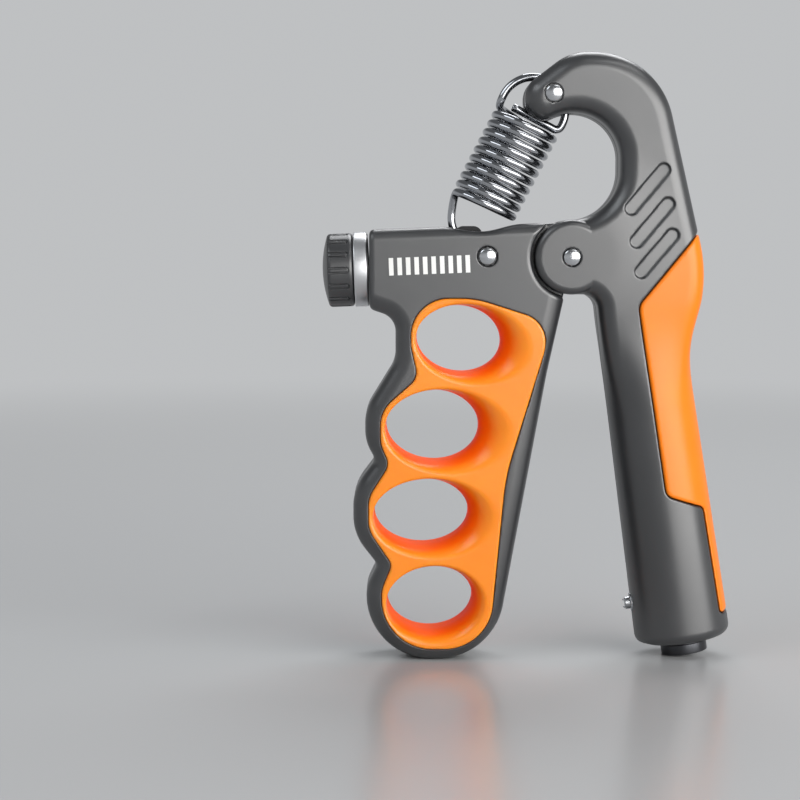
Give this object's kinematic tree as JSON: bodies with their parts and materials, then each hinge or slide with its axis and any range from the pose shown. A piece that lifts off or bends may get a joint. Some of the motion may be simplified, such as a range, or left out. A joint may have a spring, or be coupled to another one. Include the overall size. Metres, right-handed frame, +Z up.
{
  "type": "hand grip strengthener",
  "caption": "Adjustable hand grip strengthener: orange four-finger handle and dark palm handle on a pivot, joined by a tension spring, with a screw adjuster and a squeeze counter.",
  "frame": {"origin": "middle of the overall box's base, which the finger handle's base and the reset knob rest on", "axes": "+X from the finger handle to the palm handle, +Y from the front face to the rear, +Z up"},
  "size_m": [0.1098, 0.0256, 0.1619],
  "materials": {
    "dark_shell": "satin",
    "orange_insert": "satin",
    "orange_pad": "satin",
    "chrome": "polished",
    "brushed_ring": "brushed",
    "steel": "plain",
    "brass": "plain",
    "dark_knob": "satin",
    "white_print": "printed",
    "nylon": "plain",
    "counter_dark": "plain",
    "clear_window": "clear",
    "reset_metal": "satin"
  },
  "bodies": {
    "finger_handle": {"finger_shell_front": "dark_shell", "finger_shell_rear": "dark_shell", "finger_insert": "orange_insert", "finger_screws": "steel", "pivot_pin": "chrome", "pivot_washers": "nylon", "end_bush": "brass", "thrust_block": "steel", "scale_rivet": "chrome", "scale_bars_print": "white_print"},
    "adjuster": {"adjuster_knob": "dark_knob", "knob_ring": "brushed_ring", "adjuster_screw": "steel", "screw_clip": "steel"},
    "carriage": {"spring_carriage": "steel", "carriage_pin": "chrome", "tension_spring": "chrome"},
    "palm_handle": {"palm_shell_front": "dark_shell", "palm_shell_rear": "dark_shell", "grip_pad": "orange_pad", "palm_screws": "steel", "spring_pin": "chrome", "counter_frame": "counter_dark", "counter_window": "clear_window", "plunger_collar": "counter_dark"},
    "plunger": {"plunger": "steel", "plunger_spring": "steel"},
    "reset": {"reset_knob": "reset_metal", "counter_axle": "steel"},
    "units": {"units_wheel": "nylon"},
    "tens": {"tens_wheel": "nylon"},
    "hundreds": {"hundreds_wheel": "nylon"}
  },
  "joints": [
    {"name": "squeeze", "type": "hinge", "parent": "finger_handle", "child": "palm_handle", "pos_m": [0.01125, 0, 0.1077], "axis": [0, 1, 0], "range_deg": [0, 19.8], "stiffness_Nm_per_rad": 3, "springref_deg": -11.46, "deforming": ["tension_spring"]},
    {"name": "adjuster_turn", "type": "hinge", "parent": "finger_handle", "child": "adjuster", "pos_m": [-0.04235, 0, 0.10449], "axis": [0.9993, 0, 0.0384], "range_deg": [0, 3600]},
    {"name": "carriage_slide", "type": "slide", "parent": "finger_handle", "child": "carriage", "axis": [-0.9993, 0, -0.0384], "range_m": [0, 0.012], "deforming": ["tension_spring"]},
    {"name": "plunger_press", "type": "slide", "parent": "palm_handle", "child": "plunger", "axis": [0.9897, 0, 0.1435], "range_m": [0, 0.002], "stiffness_N_per_m": 200, "springref_m": -0.001, "deforming": ["plunger_spring"]},
    {"name": "reset_turn", "type": "hinge", "parent": "palm_handle", "child": "reset", "pos_m": [0.04265, 0, 0.0046], "axis": [-0.1435, 0, 0.9897], "continuous": true},
    {"name": "units_turn", "type": "hinge", "parent": "palm_handle", "child": "units", "pos_m": [0.03995, 0, 0.0232], "axis": [-0.1435, 0, 0.9897], "range_deg": [0, 36]},
    {"name": "tens_turn", "type": "hinge", "parent": "palm_handle", "child": "tens", "pos_m": [0.03948, 0, 0.02647], "axis": [-0.1435, 0, 0.9897], "continuous": true},
    {"name": "hundreds_turn", "type": "hinge", "parent": "palm_handle", "child": "hundreds", "pos_m": [0.039, 0, 0.02974], "axis": [-0.1435, 0, 0.9897], "continuous": true}
  ],
  "couplings": [
    {"joint": "adjuster_turn", "follows": "carriage_slide", "rad_per_m": 5236},
    {"joint": "units_turn", "follows": "plunger_press", "rad_per_m": 314},
    {"joint": "tens_turn", "follows": "reset_turn", "ratio": 1},
    {"joint": "hundreds_turn", "follows": "reset_turn", "ratio": 1}
  ]
}
